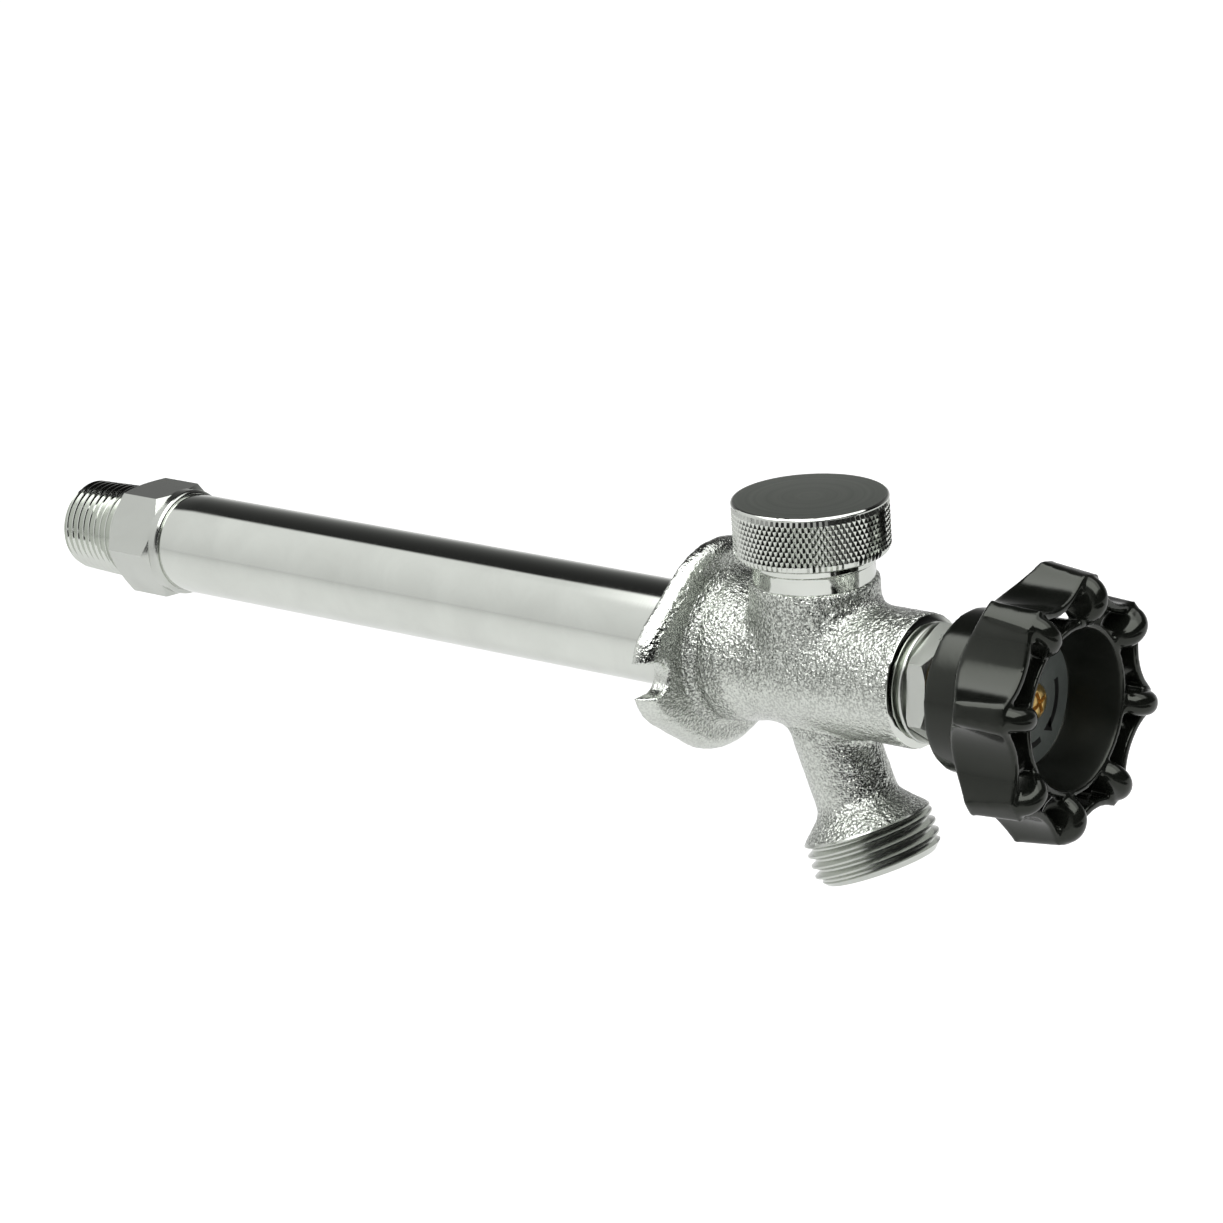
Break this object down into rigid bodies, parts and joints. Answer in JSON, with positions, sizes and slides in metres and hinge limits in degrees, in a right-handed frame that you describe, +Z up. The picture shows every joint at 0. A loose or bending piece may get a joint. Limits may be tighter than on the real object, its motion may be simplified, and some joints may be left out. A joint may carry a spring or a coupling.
{
  "type": "frost free sillcock",
  "caption": "Frost free wall sillcock with a long supply tube, cast chrome body with wall flange, knurled vacuum breaker cap, angled hose spout and black lobed wheel handle.",
  "frame": {"origin": "on the supply tube's axis, in the plane of the flange's back face, which lies on the wall", "axes": "+Y along the supply tube into the wall, -Y towards the user, +Z up, +X to the user's right when facing the wall"},
  "size_m": [0.0558, 0.2744, 0.0807],
  "materials": {
    "cast_chrome": "sand cast and chrome plated, sparkling",
    "bright_chrome": "polished chrome plate",
    "knurled_chrome": "chrome plate, diamond knurled side and satin grey top",
    "black_paint": "gloss black enamel",
    "index_metal": "satin dark grey with printed arrows",
    "brass": "turned",
    "copper_rod": "drawn",
    "spring_steel": "bright",
    "white_plastic": "moulded",
    "black_rubber": "matt"
  },
  "bodies": {
    "valve_body": {"body_casting": "cast_chrome", "supply_tube": "bright_chrome", "inlet_fitting": "cast_chrome", "stem_guide": "white_plastic", "breaker_guide": "white_plastic", "bonnet_gasket": "black_rubber", "breaker_bonnet": "brass", "breaker_cap": "knurled_chrome", "bush_gasket": "black_rubber", "thread_bush": "brass", "packing_washer": "brass", "packing_ring": "black_rubber", "packing_nut": "bright_chrome"},
    "washer_carrier": {"washer_holder": "brass", "holder_clip": "spring_steel", "seat_washer": "black_rubber", "washer_screw": "brass"},
    "spindle": {"stem_rod": "copper_rod", "stem_front": "brass", "handle_wheel": "black_paint", "index_plate": "index_metal", "handle_screw": "brass"},
    "poppet_float": {"poppet": "white_plastic", "poppet_seal": "black_rubber"}
  },
  "joints": [
    {"name": "stem_slide", "type": "slide", "parent": "valve_body", "child": "washer_carrier", "axis": [0, -1, 0], "range_m": [0, 0.00525]},
    {"name": "handle_turn", "type": "hinge", "parent": "washer_carrier", "child": "spindle", "pos_m": [0, 0, 0], "axis": [0, -1, 0], "range_deg": [0, 900]},
    {"name": "poppet_lift", "type": "slide", "parent": "valve_body", "child": "poppet_float", "axis": [0, 0, 1], "range_m": [0, 0.0026]}
  ],
  "couplings": [
    {"joint": "stem_slide", "follows": "handle_turn", "m_per_rad": 0.00033423}
  ]
}
